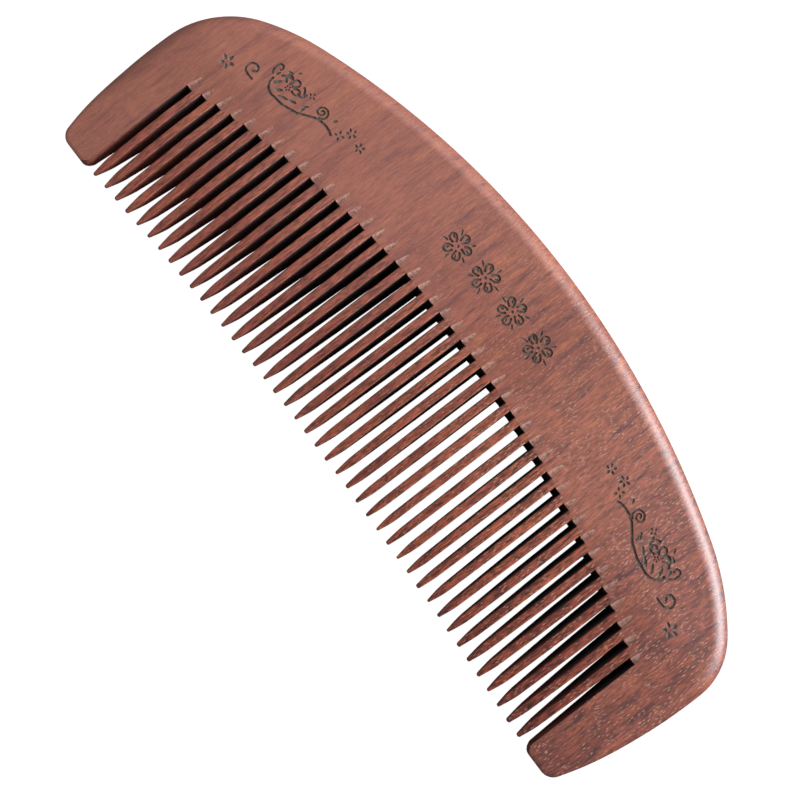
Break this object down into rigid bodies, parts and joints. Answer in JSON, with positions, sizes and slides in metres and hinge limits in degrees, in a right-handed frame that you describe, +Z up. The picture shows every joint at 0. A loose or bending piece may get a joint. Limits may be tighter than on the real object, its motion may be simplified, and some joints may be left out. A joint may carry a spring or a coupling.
{
  "type": "wide tooth comb",
  "caption": "One-board wooden hair comb with a curved, rounded back, a row of tapered pointed teeth and a broad guard tooth at each end, with small burnt-in ornament.",
  "frame": {"origin": "centre of the comb's bounding box, on the face that the comb lies on", "axes": "+X along the comb's length, +Y across it from the tooth tips to the curved back, +Z up through the board's thickness"},
  "size_m": [0.1752, 0.0664, 0.0096],
  "materials": {
    "comb_wood": "oiled and polished reddish brown hardwood, satin, grain along the teeth"
  },
  "bodies": {
    "root": {"back": "comb_wood", "guard_tooth_left": "comb_wood", "guard_tooth_right": "comb_wood", "tooth_01": "comb_wood", "tooth_02": "comb_wood", "tooth_03": "comb_wood", "tooth_04": "comb_wood", "tooth_05": "comb_wood", "tooth_06": "comb_wood", "tooth_07": "comb_wood", "tooth_08": "comb_wood", "tooth_09": "comb_wood", "tooth_10": "comb_wood", "tooth_11": "comb_wood", "tooth_12": "comb_wood", "tooth_13": "comb_wood", "tooth_14": "comb_wood", "tooth_15": "comb_wood", "tooth_16": "comb_wood", "tooth_17": "comb_wood", "tooth_18": "comb_wood", "tooth_19": "comb_wood", "tooth_20": "comb_wood", "tooth_21": "comb_wood", "tooth_22": "comb_wood", "tooth_23": "comb_wood", "tooth_24": "comb_wood", "tooth_25": "comb_wood", "tooth_26": "comb_wood", "tooth_27": "comb_wood", "tooth_28": "comb_wood", "tooth_29": "comb_wood", "tooth_30": "comb_wood", "tooth_31": "comb_wood", "tooth_32": "comb_wood", "tooth_33": "comb_wood", "tooth_34": "comb_wood", "tooth_35": "comb_wood", "tooth_36": "comb_wood", "tooth_37": "comb_wood", "tooth_38": "comb_wood", "tooth_39": "comb_wood", "tooth_40": "comb_wood", "tooth_41": "comb_wood", "tooth_42": "comb_wood"}
  },
  "joints": []
}
